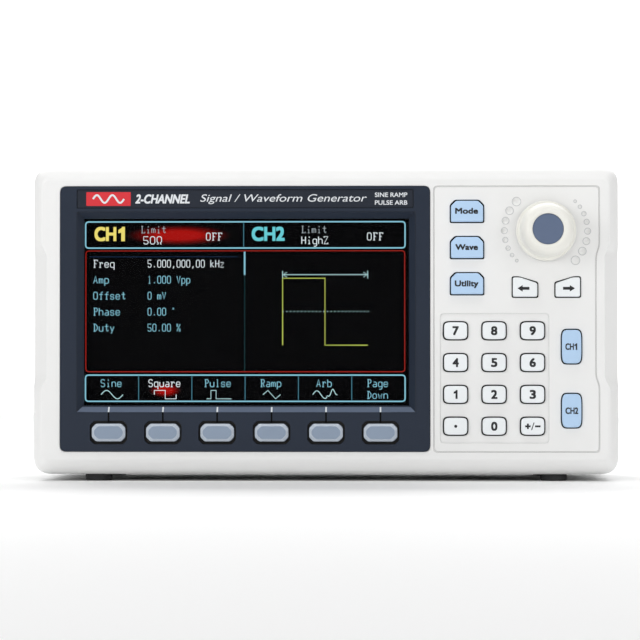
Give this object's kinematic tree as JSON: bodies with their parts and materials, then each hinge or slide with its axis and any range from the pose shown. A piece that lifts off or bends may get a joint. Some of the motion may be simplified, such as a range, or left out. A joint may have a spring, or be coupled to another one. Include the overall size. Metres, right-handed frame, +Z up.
{
  "type": "function generator",
  "caption": "Compact two-channel bench function generator: dark display surround and soft keys, keypad, push knob, tilt legs, and coaxial, USB and power connectors at the rear.",
  "frame": {"origin": "centre of the overall bounding box, on the surface that it stands on", "axes": "+X to the right seen from the front, +Y from the front face to the rear, +Z up"},
  "size_m": [0.174, 0.094, 0.0935],
  "materials": {
    "white_shell": "fine satin texture",
    "rear_shell": "fine satin texture",
    "dark_surround": "satin slate",
    "name_strip": "satin, printed",
    "clear_window": "polished",
    "lcd_glass": "dark glass, lit",
    "steel": "zinc plated",
    "tin": "tinned sheet",
    "nickel": "bright nickel",
    "circuit_board": "solder mask",
    "chip_black": "moulded epoxy",
    "black_plastic": "satin",
    "can_aluminium": "sleeve and can",
    "grey_ribbon": "vinyl ribbon",
    "insulator": "turned polymer",
    "gold_contact": "gold flash",
    "rubber_grey": "matt",
    "ivory_knob": "soft satin",
    "slate_cap": "satin",
    "blue_key": "satin silicone hard-coat",
    "frosted_key": "frosted",
    "grey_key": "satin"
  },
  "bodies": {
    "housing": {"front_bezel": "white_shell", "display_bezel": "dark_surround", "name_plate": "name_strip", "display_window": "clear_window", "lcd_panel": "lcd_glass", "lcd_frame": "steel", "front_board": "circuit_board", "tact_switches": "black_plastic", "encoder_body": "steel", "main_board": "circuit_board", "rf_shields": "tin", "chips": "chip_black", "capacitors": "can_aluminium", "ribbon_cable": "grey_ribbon", "buzzer": "black_plastic", "bnc_jack_ch1": "nickel", "bnc_jack_ch2": "nickel", "bnc_jack_ext": "nickel", "bnc_nuts": "nickel", "connector_insulators": "insulator", "connector_contacts": "gold_contact", "usb_socket": "tin", "dc_jack": "black_plastic", "power_switch_frame": "black_plastic", "rear_housing": "rear_shell", "rubber_feet": "rubber_grey", "housing_screws": "steel", "board_screws": "steel"},
    "encoder_plunger": {"encoder_plunger": "insulator"},
    "knob": {"knob": "ivory_knob", "knob_cap": "slate_cap", "encoder_shaft": "steel"},
    "power_rocker": {"power_rocker": "black_plastic"},
    "tilt_leg_left": {"tilt_leg_left": "rear_shell"},
    "tilt_leg_right": {"tilt_leg_right": "rear_shell"},
    "softkey_2": {"softkey_2": "grey_key"},
    "key_mode": {"key_mode": "blue_key"},
    "key_5": {"key_5": "frosted_key"},
    "key_ch1": {"key_ch1": "blue_key"},
    "key_arrow_left": {"key_arrow_left": "frosted_key"},
    "key_wave": {"key_wave": "blue_key"},
    "key_utility": {"key_utility": "blue_key"},
    "key_arrow_right": {"key_arrow_right": "frosted_key"},
    "key_ch2": {"key_ch2": "blue_key"},
    "key_point": {"key_point": "frosted_key"},
    "key_sign": {"key_sign": "frosted_key"},
    "key_0": {"key_0": "frosted_key"},
    "key_1": {"key_1": "frosted_key"},
    "key_2": {"key_2": "frosted_key"},
    "key_3": {"key_3": "frosted_key"},
    "key_4": {"key_4": "frosted_key"},
    "key_6": {"key_6": "frosted_key"},
    "key_7": {"key_7": "frosted_key"},
    "key_8": {"key_8": "frosted_key"},
    "key_9": {"key_9": "frosted_key"},
    "softkey_1": {"softkey_1": "grey_key"},
    "softkey_3": {"softkey_3": "grey_key"},
    "softkey_4": {"softkey_4": "grey_key"},
    "softkey_5": {"softkey_5": "grey_key"},
    "softkey_6": {"softkey_6": "grey_key"}
  },
  "joints": [
    {"name": "knob_push", "type": "slide", "parent": "housing", "child": "encoder_plunger", "axis": [0, 1, 0], "range_m": [0, 0.0005], "stiffness_N_per_m": 1500},
    {"name": "knob_turn", "type": "hinge", "parent": "encoder_plunger", "child": "knob", "pos_m": [0.0653, -0.034, 0.07405], "axis": [0, 1, 0], "continuous": true},
    {"name": "power_switch", "type": "hinge", "parent": "housing", "child": "power_rocker", "pos_m": [0.05, 0.0324, 0.0215], "axis": [1, 0, 0], "range_deg": [0, 18]},
    {"name": "leg_left_swing", "type": "hinge", "parent": "housing", "child": "tilt_leg_left", "pos_m": [-0.048, -0.011, 0.00515], "axis": [-1, 0, 0], "range_deg": [0, 100]},
    {"name": "leg_right_swing", "type": "hinge", "parent": "housing", "child": "tilt_leg_right", "pos_m": [0.048, -0.011, 0.00515], "axis": [-1, 0, 0], "range_deg": [0, 100]},
    {"name": "softkey_2_press", "type": "slide", "parent": "housing", "child": "softkey_2", "axis": [0, 1, 0], "range_m": [0, 0.0008], "stiffness_N_per_m": 1500},
    {"name": "key_mode_press", "type": "slide", "parent": "housing", "child": "key_mode", "axis": [0, 1, 0], "range_m": [0, 0.0008], "stiffness_N_per_m": 1500},
    {"name": "key_5_press", "type": "slide", "parent": "housing", "child": "key_5", "axis": [0, 1, 0], "range_m": [0, 0.0008], "stiffness_N_per_m": 1500},
    {"name": "key_ch1_press", "type": "slide", "parent": "housing", "child": "key_ch1", "axis": [0, 1, 0], "range_m": [0, 0.0008], "stiffness_N_per_m": 1500},
    {"name": "key_arrow_left_press", "type": "slide", "parent": "housing", "child": "key_arrow_left", "axis": [0, 1, 0], "range_m": [0, 0.0008], "stiffness_N_per_m": 1500},
    {"name": "key_wave_press", "type": "slide", "parent": "housing", "child": "key_wave", "axis": [0, 1, 0], "range_m": [0, 0.0008], "stiffness_N_per_m": 1500},
    {"name": "key_utility_press", "type": "slide", "parent": "housing", "child": "key_utility", "axis": [0, 1, 0], "range_m": [0, 0.0008], "stiffness_N_per_m": 1500},
    {"name": "key_arrow_right_press", "type": "slide", "parent": "housing", "child": "key_arrow_right", "axis": [0, 1, 0], "range_m": [0, 0.0008], "stiffness_N_per_m": 1500},
    {"name": "key_ch2_press", "type": "slide", "parent": "housing", "child": "key_ch2", "axis": [0, 1, 0], "range_m": [0, 0.0008], "stiffness_N_per_m": 1500},
    {"name": "key_point_press", "type": "slide", "parent": "housing", "child": "key_point", "axis": [0, 1, 0], "range_m": [0, 0.0008], "stiffness_N_per_m": 1500},
    {"name": "key_sign_press", "type": "slide", "parent": "housing", "child": "key_sign", "axis": [0, 1, 0], "range_m": [0, 0.0008], "stiffness_N_per_m": 1500},
    {"name": "key_0_press", "type": "slide", "parent": "housing", "child": "key_0", "axis": [0, 1, 0], "range_m": [0, 0.0008], "stiffness_N_per_m": 1500},
    {"name": "key_1_press", "type": "slide", "parent": "housing", "child": "key_1", "axis": [0, 1, 0], "range_m": [0, 0.0008], "stiffness_N_per_m": 1500},
    {"name": "key_2_press", "type": "slide", "parent": "housing", "child": "key_2", "axis": [0, 1, 0], "range_m": [0, 0.0008], "stiffness_N_per_m": 1500},
    {"name": "key_3_press", "type": "slide", "parent": "housing", "child": "key_3", "axis": [0, 1, 0], "range_m": [0, 0.0008], "stiffness_N_per_m": 1500},
    {"name": "key_4_press", "type": "slide", "parent": "housing", "child": "key_4", "axis": [0, 1, 0], "range_m": [0, 0.0008], "stiffness_N_per_m": 1500},
    {"name": "key_6_press", "type": "slide", "parent": "housing", "child": "key_6", "axis": [0, 1, 0], "range_m": [0, 0.0008], "stiffness_N_per_m": 1500},
    {"name": "key_7_press", "type": "slide", "parent": "housing", "child": "key_7", "axis": [0, 1, 0], "range_m": [0, 0.0008], "stiffness_N_per_m": 1500},
    {"name": "key_8_press", "type": "slide", "parent": "housing", "child": "key_8", "axis": [0, 1, 0], "range_m": [0, 0.0008], "stiffness_N_per_m": 1500},
    {"name": "key_9_press", "type": "slide", "parent": "housing", "child": "key_9", "axis": [0, 1, 0], "range_m": [0, 0.0008], "stiffness_N_per_m": 1500},
    {"name": "softkey_1_press", "type": "slide", "parent": "housing", "child": "softkey_1", "axis": [0, 1, 0], "range_m": [0, 0.0008], "stiffness_N_per_m": 1500},
    {"name": "softkey_3_press", "type": "slide", "parent": "housing", "child": "softkey_3", "axis": [0, 1, 0], "range_m": [0, 0.0008], "stiffness_N_per_m": 1500},
    {"name": "softkey_4_press", "type": "slide", "parent": "housing", "child": "softkey_4", "axis": [0, 1, 0], "range_m": [0, 0.0008], "stiffness_N_per_m": 1500},
    {"name": "softkey_5_press", "type": "slide", "parent": "housing", "child": "softkey_5", "axis": [0, 1, 0], "range_m": [0, 0.0008], "stiffness_N_per_m": 1500},
    {"name": "softkey_6_press", "type": "slide", "parent": "housing", "child": "softkey_6", "axis": [0, 1, 0], "range_m": [0, 0.0008], "stiffness_N_per_m": 1500}
  ]
}
